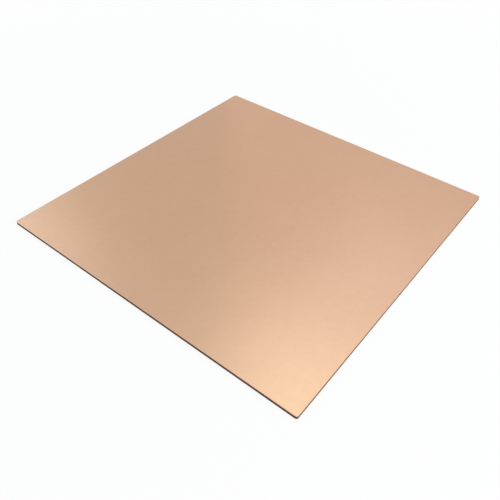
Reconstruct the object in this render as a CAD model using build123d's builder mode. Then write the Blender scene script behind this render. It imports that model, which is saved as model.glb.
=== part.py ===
from build123d import *
import os

# A copper clad board: a square sheet of paper-phenolic laminate with copper foil
# bonded to its upper face, sold for etching printed circuits. Its underside is
# bare laminate. The sheet was cut to size on a shear, which pulled the face down
# a little along all four edges, and the foil went down with it.
#
# Millimetres, +Z up. The origin is the centre of the underside, in the plane that
# the board rests on. X runs along the length and Y along the width.

# Driving dimensions
board_length = 150.0
board_width = 150.0
board_thickness = 1.5  # laminate and foil together
foil_thickness = 0.035  # one ounce of copper on each square foot
corner_radius = 0.9  # the sharp point taken off each corner
roll_width = 0.35  # how far in from the edge the shear pulled the face down
roll_drop = 0.05  # how far down the face lies at the edge itself
underside_chamfer = 0.1  # the burr taken off the lower edge

# Height of the face that the foil is bonded to
bond_height = board_thickness - foil_thickness


# Section of the sheet between two opposite edges, with its face rolled down at
# both. Each bend is an arc that leaves the flat of the face smoothly.
def sheared_section(plane, span, face_height):
    half_span = span / 2
    with BuildSketch(plane) as section:
        with BuildLine():
            bend = TangentArc(
                (half_span - roll_width, face_height),
                (half_span, face_height - roll_drop),
                tangent=(1, 0),
            )
            Polyline(bend @ 1, (half_span, 0), (0, 0))
            Line((0, face_height), bend @ 0)
            mirror(about=Plane.YZ)
        make_face()
    return section.sketch


# The sheet from its underside up to one height. The two pairs of edges are cut
# one after the other, so their bends meet in a mitre at each corner, and then
# the upright edge of the corner is rounded.
def sheared_sheet(face_height):
    section_along_length = sheared_section(Plane.XZ, board_length, face_height)
    section_along_width = sheared_section(Plane.YZ, board_width, face_height)
    with BuildPart() as sheet:
        extrude(section_along_length, amount=board_width, both=True)
        extrude(section_along_width, amount=board_length, both=True, mode=Mode.INTERSECT)
        fillet(edges().filter_by(Axis.Z), radius=corner_radius)
    return sheet.part


laminate_sheet = sheared_sheet(bond_height)
clad_sheet = sheared_sheet(board_thickness)

# Laminate base: the rigid board itself, bare below and at its cut edges
with BuildPart() as base_laminate:
    add(laminate_sheet)
    underside = faces().sort_by(Axis.Z)[0]
    chamfer(underside.edges(), length=underside_chamfer)
base_laminate.part.label = "base_laminate"

# Copper foil: what the clad sheet has above the bonded face, right out to the
# cut edges, and as thick on the bends as on the flat
with BuildPart() as copper_foil:
    add(clad_sheet)
    add(laminate_sheet, mode=Mode.SUBTRACT)
copper_foil.part.label = "copper_foil"

os.makedirs("parts", exist_ok=True)
export_step(base_laminate.part, "parts/base_laminate.step")
export_step(copper_foil.part, "parts/copper_foil.step")
print("base_laminate volume", round(base_laminate.part.volume, 2), "mm3")
print("copper_foil volume", round(copper_foil.part.volume, 2), "mm3")
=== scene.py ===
import bpy
import math
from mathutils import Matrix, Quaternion, Vector


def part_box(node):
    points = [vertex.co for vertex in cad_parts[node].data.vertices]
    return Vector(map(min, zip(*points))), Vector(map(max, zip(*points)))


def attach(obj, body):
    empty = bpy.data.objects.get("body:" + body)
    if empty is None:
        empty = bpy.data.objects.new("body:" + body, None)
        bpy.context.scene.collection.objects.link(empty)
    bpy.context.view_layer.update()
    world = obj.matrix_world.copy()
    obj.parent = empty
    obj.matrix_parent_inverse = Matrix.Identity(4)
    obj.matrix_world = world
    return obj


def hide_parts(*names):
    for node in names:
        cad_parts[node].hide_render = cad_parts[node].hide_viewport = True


# A copper clad board lying on a white floor with its copper face up.
# Metres, in the CAD frame: X along the board's length, Y along its width, +Z up.

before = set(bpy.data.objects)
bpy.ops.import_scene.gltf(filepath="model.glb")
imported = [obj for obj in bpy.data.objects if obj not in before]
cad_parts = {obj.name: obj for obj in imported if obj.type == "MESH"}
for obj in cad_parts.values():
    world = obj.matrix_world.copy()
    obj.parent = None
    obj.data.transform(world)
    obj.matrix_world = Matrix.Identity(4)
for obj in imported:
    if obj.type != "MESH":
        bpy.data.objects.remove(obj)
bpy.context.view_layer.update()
scene = bpy.context.scene
scene.view_settings.view_transform = "Standard"
mm = 0.001
print("frame loaded")


# Shared helpers

def linear(hexColour):  # sRGB hex to the linear colour that the shaders take
    channels = [int(hexColour[i:i + 2], 16) / 255 for i in (1, 3, 5)]
    return [c / 12.92 if c <= 0.04045 else ((c + 0.055) / 1.055) ** 2.4 for c in channels] + [1.0]


def addNode(tree, kind, links=None, **settings):
    # links: input name or number -> a socket to link, or a plain value to set. A Mix node
    # takes two plain values at 2 and 3, or two colours at 6 and 7, and gives a colour at 2.
    node = tree.nodes.new(kind)
    for name, value in settings.items():
        setattr(node, name, value)
    for key, value in (links or {}).items():
        if isinstance(value, bpy.types.NodeSocket):
            tree.links.new(value, node.inputs[key])
        else:
            node.inputs[key].default_value = value
    return node


def newMaterial(name):
    material = bpy.data.materials.new(name)
    material.use_nodes = True
    material.node_tree.nodes.clear()
    return material, material.node_tree


# Camera, standing where the photograph was taken from

cameraPlace = {
    "lens": 40.79,                             # mm
    "sensorWidth": 36,                         # mm
    "nearest": 0.01,                           # m, where its view begins
    "position": (0.11958, -0.16091, 0.16370),  # m
    "rotation": (46.785, -1.289, 38.588),      # degrees, XYZ
}


def placeCamera():
    camera = bpy.data.objects.new("camera", bpy.data.cameras.new("camera"))
    camera.data.lens = cameraPlace["lens"]
    camera.data.sensor_width = cameraPlace["sensorWidth"]
    camera.data.clip_start = cameraPlace["nearest"]
    camera.location = cameraPlace["position"]
    camera.rotation_euler = [math.radians(angle) for angle in cameraPlace["rotation"]]
    scene.collection.objects.link(camera)
    scene.camera = camera


# Studio: white surroundings, a white paper floor and seven soft lamps

studio = {
    "surroundLight": 0.32,          # what the white room gives to matt surfaces
    "floorSide": 6.0,               # m
    "floorGap": 0.005 * mm,         # how far it lies under the board, so that they don't share a plane
    "gapRay": 0.02 * mm,            # light that meets the floor sooner than this comes from the gap
    "floorColour": "#F8F8F8",       # as the camera and the copper see it
    "floorBounce": "#7C7C7C",       # what it gives back to the board's cut edges
    "ownWhite": (0.90, 1.0),        # share of the floor that shows as plain white, at the board and far off
    "ownWhiteReach": (0.10, 0.45),  # m from the board's centre, between which the one turns into the other
}

# Each lamp stands at its place and faces its aim, turned by some degrees about that line.
# Places and sizes, wide and high, are in metres. The key is kept out of the copper's
# reflections, where it would burn a white patch. The panel under the floor lights the
# board's underside alone.

lamps = {
    "overheadBox": {"place": (0.053, 0.110, 0.941), "aim": (0, 0, 0), "turn": 20, "size": (1.044, 1.798),
                    "radiance": 0.583, "colour": "#CFE3FF", "seenInCopper": True},
    "nearBox": {"place": (-0.083, 0.245, 0.651), "aim": (0, 0, 0), "turn": 0, "size": (0.251, 0.287),
                "radiance": 0.802, "colour": "#E7FFE2", "seenInCopper": True},
    "leftWindow": {"place": (-0.638, -0.101, 0.472), "aim": (0, 0, 0), "turn": 0, "size": (0.724, 0.433),
                   "radiance": 0.915, "colour": "#D7ECFF", "seenInCopper": True},
    "farPanel": {"place": (0.156, 0.088, 0.294), "aim": (0.156, 0, 0.294), "turn": 0, "size": (0.500, 0.587),
                 "radiance": 0.095, "colour": "#FFC2BD", "seenInCopper": True},
    "rightPanel": {"place": (0.850, 0.050, 0.520), "aim": (0, 0, 0), "turn": 0, "size": (1.300, 0.700),
                   "radiance": 0.5, "colour": "#FFFFFF", "seenInCopper": True},
    "rightKey": {"place": (0.900, 0.240, 0.380), "aim": (0, 0, 0), "turn": 0, "size": (1.000, 0.600),
                 "radiance": 4.4, "colour": "#FFFFFF", "seenInCopper": False},
    "underPanel": {"place": (0.000, 0.000, -0.800), "aim": (0, 0, 0), "turn": 0, "size": (1.600, 1.600),
                   "radiance": 1.1, "colour": "#FFFFFF", "seenInCopper": False},
}


def lightStudio():
    for name, settings in lamps.items():
        light = bpy.data.lights.new(name, "AREA")
        light.shape = "RECTANGLE"
        light.size, light.size_y = settings["size"]
        light.color = linear(settings["colour"])[:3]
        light.energy = settings["radiance"] * math.pi * light.size * light.size_y  # W
        lamp = bpy.data.objects.new(name, light)
        lamp.location = settings["place"]
        backwards = Vector(settings["place"]) - Vector(settings["aim"])  # a lamp shines along its own -Z
        turn = Quaternion((0, 0, 1), math.radians(settings["turn"]))
        lamp.rotation_euler = (backwards.to_track_quat("Z", "Y") @ turn).to_euler()
        lamp.visible_camera = False
        lamp.visible_glossy = settings["seenInCopper"]
        scene.collection.objects.link(lamp)


def seenRay(tree):  # 1 for rays that show the surface itself, 0 for the light it gives to matt surfaces
    path = addNode(tree, "ShaderNodeLightPath").outputs
    direct = addNode(tree, "ShaderNodeMath", {0: path["Is Camera Ray"], 1: path["Is Glossy Ray"]},
                     operation="MAXIMUM")
    seen = addNode(tree, "ShaderNodeMath", {0: direct.outputs[0], 1: path["Is Transmission Ray"]},
                   operation="MAXIMUM")
    return seen.outputs[0]


def buildSurround():
    world = bpy.data.worlds.new("whiteRoom")
    world.use_nodes = True
    tree = world.node_tree
    tree.nodes.clear()
    strength = addNode(tree, "ShaderNodeMapRange",
                       {"Value": seenRay(tree), "To Min": studio["surroundLight"], "To Max": 1.0})
    light = addNode(tree, "ShaderNodeBackground", {"Color": (1, 1, 1, 1), "Strength": strength.outputs[0]})
    addNode(tree, "ShaderNodeOutputWorld", {"Surface": light.outputs[0]})
    scene.world = world


def whitePaper():
    # Matt white paper in even light, which the eye takes for plain white. A small share of it
    # near the board stays ordinary paper, and shows the board's faint shadow.
    material, tree = newMaterial("whitePaperSweep")
    seen = seenRay(tree)
    tone = addNode(tree, "ShaderNodeMix",
                   {0: seen, 6: linear(studio["floorBounce"]), 7: linear(studio["floorColour"])},
                   data_type="RGBA")
    paper = addNode(tree, "ShaderNodeBsdfDiffuse", {"Color": tone.outputs[2]})
    white = addNode(tree, "ShaderNodeEmission", {"Color": (1, 1, 1, 1), "Strength": 1.0})
    place = addNode(tree, "ShaderNodeTexCoord").outputs["Object"]
    away = addNode(tree, "ShaderNodeVectorMath", {0: place}, operation="LENGTH")
    nearBoard, farOff = studio["ownWhiteReach"]
    atBoard, beyond = studio["ownWhite"]
    ownWhite = addNode(tree, "ShaderNodeMapRange",
                       {"Value": away.outputs["Value"], "From Min": nearBoard, "From Max": farOff,
                        "To Min": atBoard, "To Max": beyond})
    share = addNode(tree, "ShaderNodeMath", {0: seen, 1: ownWhite.outputs[0]}, operation="MULTIPLY")
    sweep = addNode(tree, "ShaderNodeMixShader",
                    {0: share.outputs[0], 1: paper.outputs[0], 2: white.outputs[0]})

    # clear from below, and to what starts in the gap, so that the underside can be seen and lit
    fromBelow = addNode(tree, "ShaderNodeNewGeometry").outputs["Backfacing"]
    rayLength = addNode(tree, "ShaderNodeLightPath").outputs["Ray Length"]
    fromGap = addNode(tree, "ShaderNodeMath", {0: rayLength, 1: studio["gapRay"]}, operation="LESS_THAN")
    isOpen = addNode(tree, "ShaderNodeMath", {0: fromBelow, 1: fromGap.outputs[0]}, operation="MAXIMUM")
    clear = addNode(tree, "ShaderNodeBsdfTransparent")
    oneSided = addNode(tree, "ShaderNodeMixShader",
                       {0: isOpen.outputs[0], 1: sweep.outputs[0], 2: clear.outputs[0]})
    addNode(tree, "ShaderNodeOutputMaterial", {"Surface": oneSided.outputs[0]})
    return material


def buildFloor():
    side = studio["floorSide"] / 2
    height = -studio["floorGap"]
    corners = [(-side, -side, height), (side, -side, height), (side, side, height), (-side, side, height)]
    mesh = bpy.data.meshes.new("studioFloor")
    mesh.from_pydata(corners, [], [(0, 1, 2, 3)])
    mesh.materials.append(whitePaper())
    floor = bpy.data.objects.new("studioFloor", mesh)
    scene.collection.objects.link(floor)


# Materials

def satinCopper():
    # Electrolytic copper foil, pressed onto the board against a satin steel plate and left
    # bare: a soft warm sheen with no brush lines, and a faint cloudiness in it.
    look = {
        "colour": "#C8A387",
        "cloudColour": "#BE997D",
        "cloudSize": 26 * mm,           # slow drift of tone from the pressing
        "grainSize": 2.4 * mm,          # print of the press plate, drawn coarser so that it shows
        "grainShare": 0.5,              # how much of the cloudiness is grain
        "grainContrast": (0.3, 0.7),    # where in the noise the surface is smoothest, and roughest
        "grainHeight": 0.0012 * mm,     # how far the grain stands out
        "roughness": (0.276, 0.290),    # smoothest and roughest; under 0.275 the render turns grainy
    }
    material, tree = newMaterial("satinCopperFoil")
    place = addNode(tree, "ShaderNodeTexCoord").outputs["Object"]
    cloud = addNode(tree, "ShaderNodeTexNoise",
                    {"Vector": place, "Scale": 1 / look["cloudSize"], "Detail": 3.0})
    grain = addNode(tree, "ShaderNodeTexNoise",
                    {"Vector": place, "Scale": 1 / look["grainSize"], "Detail": 3.0})
    clouding = addNode(tree, "ShaderNodeMix",
                       {0: look["grainShare"], 2: cloud.outputs[0], 3: grain.outputs[0]})
    tone = addNode(tree, "ShaderNodeMix",
                   {0: clouding.outputs[0], 6: linear(look["colour"]), 7: linear(look["cloudColour"])},
                   data_type="RGBA")
    faint, strong = look["grainContrast"]
    smoothest, roughest = look["roughness"]
    satin = addNode(tree, "ShaderNodeMapRange",
                    {"Value": grain.outputs[0], "From Min": faint, "From Max": strong,
                     "To Min": smoothest, "To Max": roughest})
    relief = addNode(tree, "ShaderNodeBump",
                     {"Height": grain.outputs[0], "Strength": 1.0, "Distance": look["grainHeight"]})
    shader = addNode(tree, "ShaderNodeBsdfPrincipled",
                     {"Base Color": tone.outputs[2], "Metallic": 1.0, "Roughness": satin.outputs[0],
                      "Normal": relief.outputs[0]})
    addNode(tree, "ShaderNodeOutputMaterial", {"Surface": shader.outputs[0]})
    return material


def shearedLaminate():
    # Edge of paper-phenolic laminate, as the shear left it: matt brown plies of resin-soaked
    # paper lying level, a little darker between them, with pale torn fibres along the cut.
    look = {
        "colour": "#7A5033",
        "seamColour": "#603D27",
        "fibreColour": "#946A42",
        "plyHeight": 0.18 * mm,
        "plyWaver": 1.2,                # how much the plies wander as they run
        "fibreSize": 0.5 * mm,          # drawn coarser than the real fibres so that they show
        "fibreStretch": 6.0,            # how much longer the fibres are than they are high
        "fibreContrast": (0.55, 0.72),  # where in the noise a fibre begins to show, and shows in full
        "tearHeight": 0.01 * mm,        # how far the torn fibres stand out
        "roughness": 0.62,
        "specular": 0.2,                # torn paper gives back little of its resin's gloss
    }
    material, tree = newMaterial("shearedPaperPhenolic")
    place = addNode(tree, "ShaderNodeTexCoord").outputs["Object"]
    onePerMetre = math.pi / 10  # the scale at which a wave texture has one band to the metre
    plies = addNode(tree, "ShaderNodeTexWave",
                    {"Vector": place, "Scale": onePerMetre / look["plyHeight"],
                     "Distortion": look["plyWaver"], "Detail": 2.0, "Detail Scale": 0.6},
                    bands_direction="Z")
    lying = addNode(tree, "ShaderNodeMapping", {"Vector": place, "Scale": (1, 1, look["fibreStretch"])})
    fibres = addNode(tree, "ShaderNodeTexNoise",
                     {"Vector": lying.outputs[0], "Scale": 1 / look["fibreSize"], "Detail": 4.0,
                      "Roughness": 0.6})
    layered = addNode(tree, "ShaderNodeMix",
                      {0: plies.outputs["Fac"], 6: linear(look["seamColour"]), 7: linear(look["colour"])},
                      data_type="RGBA")
    faint, strong = look["fibreContrast"]
    torn = addNode(tree, "ShaderNodeMapRange",
                   {"Value": fibres.outputs[0], "From Min": faint, "From Max": strong})
    tone = addNode(tree, "ShaderNodeMix",
                   {0: torn.outputs[0], 6: layered.outputs[2], 7: linear(look["fibreColour"])},
                   data_type="RGBA")
    relief = addNode(tree, "ShaderNodeBump",
                     {"Height": fibres.outputs[0], "Strength": 1.0, "Distance": look["tearHeight"]})
    shader = addNode(tree, "ShaderNodeBsdfPrincipled",
                     {"Base Color": tone.outputs[2], "Roughness": look["roughness"],
                      "Specular IOR Level": look["specular"], "Normal": relief.outputs[0]})
    addNode(tree, "ShaderNodeOutputMaterial", {"Surface": shader.outputs[0]})
    return material


def pressedLaminate():
    # Underside of the same laminate, pressed smooth: a half-gloss skin of brown phenolic
    # resin, clouded by the paper under it, with paler fibres that lie along the board.
    look = {
        "colour": "#82583A",
        "cloudColour": "#734D33",
        "fibreColour": "#8E643F",
        "clumpSize": 3.0 * mm,          # clumps of fibre in the top sheet of paper
        "clumpContrast": (0.30, 0.70),  # where in the noise a clump begins to show, and shows in full
        "fibreSize": 0.4 * mm,          # drawn coarser than the real fibres so that they show
        "fibreStretch": 8.0,            # how much longer the fibres are than they are wide
        "fibreCurl": 0.6,               # how much they wander
        "fibreContrast": (0.52, 0.75),  # as for the clumps
        "skinHeight": 0.004 * mm,       # how far the fibres stand up under the skin
        "roughness": (0.32, 0.42),      # between the clumps, and over them
        "ior": 1.6,                     # of phenolic resin
    }
    material, tree = newMaterial("pressedPaperPhenolic")
    place = addNode(tree, "ShaderNodeTexCoord").outputs["Object"]
    clumps = addNode(tree, "ShaderNodeTexNoise",
                     {"Vector": place, "Scale": 1 / look["clumpSize"], "Detail": 3.0})
    faint, strong = look["clumpContrast"]
    clouded = addNode(tree, "ShaderNodeMapRange",
                      {"Value": clumps.outputs[0], "From Min": faint, "From Max": strong})
    paper = addNode(tree, "ShaderNodeMix",
                    {0: clouded.outputs[0], 6: linear(look["colour"]), 7: linear(look["cloudColour"])},
                    data_type="RGBA")
    lengthways = addNode(tree, "ShaderNodeMapping",
                         {"Vector": place, "Scale": (1 / look["fibreStretch"], 1, 1)})
    fibres = addNode(tree, "ShaderNodeTexNoise",
                     {"Vector": lengthways.outputs[0], "Scale": 1 / look["fibreSize"], "Detail": 3.0,
                      "Distortion": look["fibreCurl"]})
    faint, strong = look["fibreContrast"]
    paler = addNode(tree, "ShaderNodeMapRange",
                    {"Value": fibres.outputs[0], "From Min": faint, "From Max": strong})
    tone = addNode(tree, "ShaderNodeMix",
                   {0: paler.outputs[0], 6: paper.outputs[2], 7: linear(look["fibreColour"])},
                   data_type="RGBA")
    smoothest, roughest = look["roughness"]
    gloss = addNode(tree, "ShaderNodeMapRange",
                    {"Value": clumps.outputs[0], "To Min": smoothest, "To Max": roughest})
    relief = addNode(tree, "ShaderNodeBump",
                     {"Height": fibres.outputs[0], "Strength": 1.0, "Distance": look["skinHeight"]})
    shader = addNode(tree, "ShaderNodeBsdfPrincipled",
                     {"Base Color": tone.outputs[2], "Roughness": gloss.outputs[0], "IOR": look["ior"],
                      "Normal": relief.outputs[0]})
    addNode(tree, "ShaderNodeOutputMaterial", {"Surface": shader.outputs[0]})
    return material


# Board: both pieces are one section swept round the board's outline, with a flat face
# above and below. A section runs out over its face, down the cut edge and in under it.

board = {
    "cornerRadius": 0.9 * mm,
    "rollWidth": 0.35 * mm,      # how far in from the edge the shear pulled the copper face down
    "rollDrop": 0.05 * mm,       # how far down it lies at the edge itself
    "edgeRound": 0.1 * mm,       # the burr taken off the lower edge
    "rim": 0.7 * mm,             # where the swept section ends and the flat face takes over
    "bendSteps": 6,
    "cornerSteps": 8,
    "weldWithin": 0.001 * mm,    # points closer than this become one
    "levelWithin": 0.005 * mm,   # heights closer than this count as the same
    "sharpFrom": 35,             # degrees; sharper edges than this show as edges
    "downFrom": -0.9,            # a face whose normal has a lower Z than this is the underside
}


def boardSection(tree, given):
    # drawn flat in the XY plane, with X inward from the cut edge and Y up, as curves end to end
    # that the weld after the sweep joins
    def bend(side):  # the flat rim, and the bend from it to the cut edge
        flat = given[side + " Height"]
        reach = given[side + " Reach"]
        halfReach = addNode(tree, "ShaderNodeMath", {0: reach, 1: 0.5}, operation="MULTIPLY")
        edgeHeight = addNode(tree, "ShaderNodeMath", {0: flat, 1: given[side + " Rise"]}, operation="ADD")
        rimEnd = addNode(tree, "ShaderNodeCombineXYZ", {"X": given["Rim"], "Y": flat})
        bendStart = addNode(tree, "ShaderNodeCombineXYZ", {"X": reach, "Y": flat})
        bendMiddle = addNode(tree, "ShaderNodeCombineXYZ", {"X": halfReach.outputs[0], "Y": flat})
        edgePoint = addNode(tree, "ShaderNodeCombineXYZ", {"X": 0.0, "Y": edgeHeight.outputs[0]})
        rim = addNode(tree, "GeometryNodeCurvePrimitiveLine",
                      {"Start": rimEnd.outputs[0], "End": bendStart.outputs[0]})
        curve = addNode(tree, "GeometryNodeCurveQuadraticBezier",
                        {"Resolution": board["bendSteps"], "Start": bendStart.outputs[0],
                         "Middle": bendMiddle.outputs[0], "End": edgePoint.outputs[0]})
        both = addNode(tree, "GeometryNodeJoinGeometry", {0: rim.outputs[0]})
        tree.links.new(curve.outputs[0], both.inputs[0])
        return both.outputs[0], edgePoint.outputs[0]

    lower, lowerEdge = bend("Lower")
    upper, upperEdge = bend("Upper")
    cutEdge = addNode(tree, "GeometryNodeCurvePrimitiveLine", {"Start": upperEdge, "End": lowerEdge})
    lowerFromEdge = addNode(tree, "GeometryNodeReverseCurve", {"Curve": lower})
    section = addNode(tree, "GeometryNodeJoinGeometry", {0: upper})
    tree.links.new(cutEdge.outputs[0], section.inputs[0])
    tree.links.new(lowerFromEdge.outputs[0], section.inputs[0])
    return section.outputs[0]


def sweptRim(tree, given, section):
    # the sweep takes X as outward and Y as down, which is the section turned half round
    turned = addNode(tree, "GeometryNodeTransform", {"Geometry": section, "Rotation": (0, 0, math.pi)})
    outline = addNode(tree, "GeometryNodeCurvePrimitiveQuadrilateral",
                      {"Width": given["Length"], "Height": given["Width"]})
    rounded = addNode(tree, "GeometryNodeFilletCurve",
                      {"Curve": outline.outputs[0], "Count": board["cornerSteps"],
                       "Radius": given["Corner Radius"]}, mode="POLY")
    swept = addNode(tree, "GeometryNodeCurveToMesh",
                    {"Curve": rounded.outputs[0], "Profile Curve": turned.outputs[0]})
    welded = addNode(tree, "GeometryNodeMergeByDistance",
                     {"Geometry": swept.outputs[0], "Distance": board["weldWithin"]})
    return welded.outputs[0]


def flatFaces(tree, given, rim):
    # the upper face fills the rim's open edge, and the lower one is a copy of it turned over
    facesBeside = addNode(tree, "GeometryNodeInputMeshEdgeNeighbors").outputs[0]
    openEdge = addNode(tree, "FunctionNodeCompare", {2: facesBeside, 3: 1},
                       data_type="INT", operation="EQUAL")
    position = addNode(tree, "GeometryNodeInputPosition").outputs[0]
    height = addNode(tree, "ShaderNodeSeparateXYZ", {0: position}).outputs["Z"]
    atTop = addNode(tree, "FunctionNodeCompare",
                    {0: height, 1: given["Upper Height"], "Epsilon": board["levelWithin"]}, operation="EQUAL")
    upperEdge = addNode(tree, "FunctionNodeBooleanMath", {0: openEdge.outputs[0], 1: atTop.outputs[0]})
    edgeLine = addNode(tree, "GeometryNodeMeshToCurve", {"Mesh": rim, "Selection": upperEdge.outputs[0]})
    filled = addNode(tree, "GeometryNodeFillCurve", {"Curve": edgeLine.outputs[0]}, mode="NGONS")
    turned = addNode(tree, "GeometryNodeFlipFaces", {"Mesh": filled.outputs[0]})
    faces = []
    for face, side in ((filled, "Upper"), (turned, "Lower")):
        place = addNode(tree, "ShaderNodeCombineXYZ", {"Z": given[side + " Height"]})
        lifted = addNode(tree, "GeometryNodeTransform",
                         {"Geometry": face.outputs[0], "Translation": place.outputs[0]})
        faces.append(lifted.outputs[0])
    return faces


def shadedSheet(tree, sheet):
    # smooth all over, apart from the edges that are sharp on the real board
    smooth = addNode(tree, "GeometryNodeSetShadeSmooth", {"Geometry": sheet})
    angle = addNode(tree, "GeometryNodeInputMeshEdgeAngle").outputs["Unsigned Angle"]
    sharp = addNode(tree, "FunctionNodeCompare", {0: angle, 1: math.radians(board["sharpFrom"])},
                    operation="GREATER_THAN")
    edged = addNode(tree, "GeometryNodeSetShadeSmooth",
                    {"Geometry": smooth.outputs[0], "Selection": sharp.outputs[0], "Shade Smooth": False},
                    domain="EDGE")
    return edged.outputs[0]


def sheetTree():
    tree = bpy.data.node_groups.new("shearedSheet", "GeometryNodeTree")
    for name in ("Length", "Width", "Corner Radius", "Rim",
                 "Lower Height", "Lower Reach", "Lower Rise",
                 "Upper Height", "Upper Reach", "Upper Rise"):
        tree.interface.new_socket(name, in_out="INPUT", socket_type="NodeSocketFloat")
    for name in ("Edge Material", "Underside Material"):
        tree.interface.new_socket(name, in_out="INPUT", socket_type="NodeSocketMaterial")
    tree.interface.new_socket("Sheet", in_out="OUTPUT", socket_type="NodeSocketGeometry")
    given = addNode(tree, "NodeGroupInput").outputs

    rim = sweptRim(tree, given, boardSection(tree, given))
    parts = addNode(tree, "GeometryNodeJoinGeometry", {0: rim})
    for face in flatFaces(tree, given, rim):
        tree.links.new(face, parts.inputs[0])
    closed = addNode(tree, "GeometryNodeMergeByDistance",
                     {"Geometry": parts.outputs[0], "Distance": board["weldWithin"]})
    shaded = shadedSheet(tree, closed.outputs[0])

    # one material for the upper side and the cut edge, and one for the faces that look down
    plain = addNode(tree, "GeometryNodeRealizeInstances", {"Geometry": shaded})
    normal = addNode(tree, "GeometryNodeInputNormal").outputs[0]
    facing = addNode(tree, "ShaderNodeSeparateXYZ", {0: normal}).outputs["Z"]
    facesDown = addNode(tree, "FunctionNodeCompare", {0: facing, 1: board["downFrom"]}, operation="LESS_THAN")
    edged = addNode(tree, "GeometryNodeSetMaterial",
                    {"Geometry": plain.outputs[0], "Material": given["Edge Material"]})
    finished = addNode(tree, "GeometryNodeSetMaterial",
                       {"Geometry": edged.outputs[0], "Selection": facesDown.outputs[0],
                        "Material": given["Underside Material"]})
    addNode(tree, "NodeGroupOutput", {0: finished.outputs[0]})
    return tree


def sheetPiece(name, tree, sizes):
    piece = bpy.data.objects.new(name, bpy.data.meshes.new(name))
    scene.collection.objects.link(piece)
    modifier = piece.modifiers.new("sheet", "NODES")
    modifier.node_group = tree
    for item in tree.interface.items_tree:
        if item.in_out == "INPUT":
            modifier[item.identifier] = sizes[item.name]
    evaluated = piece.evaluated_get(bpy.context.evaluated_depsgraph_get())
    finished = bpy.data.meshes.new_from_object(evaluated)
    piece.modifiers.remove(modifier)
    finished.materials.pop(index=0)  # the tree leaves an empty slot before its own materials
    piece.data = finished
    return piece


def buildBoard():
    tree = sheetTree()
    cutLaminate = shearedLaminate()
    copper = satinCopper()
    # lower: how far in the lower bend reaches, and how far it rises on its way to the cut edge
    pieces = {
        "laminateSheet": {"node": "base_laminate", "slot": "phenolic_laminate",
                          "lower": (board["edgeRound"], board["edgeRound"]),
                          "edge": cutLaminate, "underside": pressedLaminate()},
        "copperFace": {"node": "copper_foil", "slot": "bright_copper",
                       "lower": (board["rollWidth"], -board["rollDrop"]),
                       "edge": copper, "underside": copper},
    }
    for name, facts in pieces.items():
        lowest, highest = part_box(facts["node"])
        reach, rise = facts["lower"]
        sizes = {
            "Length": highest.x - lowest.x,
            "Width": highest.y - lowest.y,
            "Corner Radius": board["cornerRadius"],
            "Rim": board["rim"],
            "Lower Height": lowest.z - min(rise, 0),  # the box ends at an edge that hangs below its face
            "Lower Reach": reach,
            "Lower Rise": rise,
            "Upper Height": highest.z,
            "Upper Reach": board["rollWidth"],
            "Upper Rise": -board["rollDrop"],
            "Edge Material": facts["edge"],
            "Underside Material": facts["underside"],
        }
        piece = sheetPiece(name, tree, sizes)
        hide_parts(facts["node"])
        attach(piece, "root")
        print(name, "built with", len(piece.data.polygons), "faces")


placeCamera()
buildSurround()
buildFloor()
lightStudio()
print("studio and camera stand")
buildBoard()
print("board built")
